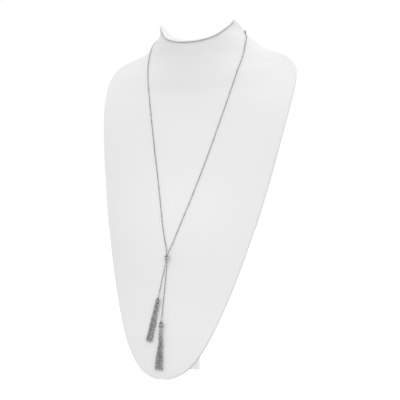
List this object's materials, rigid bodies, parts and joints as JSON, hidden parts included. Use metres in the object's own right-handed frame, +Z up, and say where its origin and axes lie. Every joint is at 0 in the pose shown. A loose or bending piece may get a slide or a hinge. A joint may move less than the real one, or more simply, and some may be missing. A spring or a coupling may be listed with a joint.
{
  "type": "tassel necklace on a neck bust",
  "caption": "Fine silver cable chain worn as an adjustable Y, with a slider bead and a chain tassel on each end, on a plain white neck bust with an easel strut.",
  "frame": {"origin": "on the table, under the middle of the whole in width and depth", "axes": "+Z up, -Y the way the bust faces, +X the bust's left shoulder, on the right seen from the front"},
  "size_m": [0.2714, 0.1386, 0.451],
  "materials": {
    "bust_cover": "matte white leatherette, very fine grain",
    "piping": "pale grey bound edge",
    "strut_board": "white board, same cover as the bust",
    "silver_chain": "fine silver cable chain",
    "polished_silver": "polished silver"
  },
  "bodies": {
    "root": {"neck_bust": "bust_cover", "neck_piping": "piping", "easel_strut": "strut_board", "chain": "silver_chain", "slider_bead": "polished_silver", "tassel_a_ring": "polished_silver", "tassel_a_cap": "polished_silver", "tassel_a_strands": "silver_chain", "tassel_b_ring": "polished_silver", "tassel_b_cap": "polished_silver", "tassel_b_strands": "silver_chain"}
  },
  "joints": []
}
